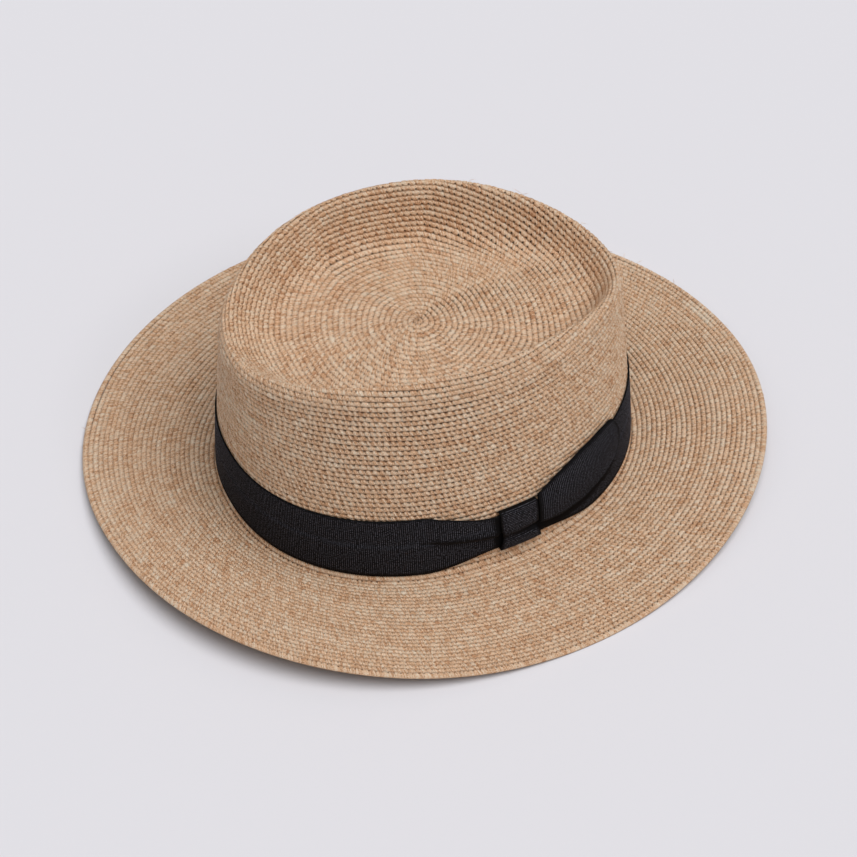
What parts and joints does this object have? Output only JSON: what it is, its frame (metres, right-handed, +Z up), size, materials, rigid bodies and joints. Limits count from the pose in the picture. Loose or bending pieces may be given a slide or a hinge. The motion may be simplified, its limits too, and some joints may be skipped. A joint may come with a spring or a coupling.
{
  "type": "hat",
  "caption": "Crocheted straw hat with a dished oval crown, a gently waved brim, a ribbon band and a flat bow on the wearer's left.",
  "frame": {"origin": "middle of the base of the hat's bounding box, on the surface that the brim rests on", "axes": "+Z up through the crown, front of the hat towards -Y, wearer's left (the bow's side) towards +X"},
  "size_m": [0.3064, 0.3398, 0.1238],
  "materials": {
    "raffia": "matte crocheted raffia",
    "grosgrain": "matte ribbed ribbon"
  },
  "bodies": {
    "root": {"raffia_body": "raffia", "ribbon_band": "grosgrain", "bow_wing": "grosgrain", "bow_knot": "grosgrain"}
  },
  "joints": []
}
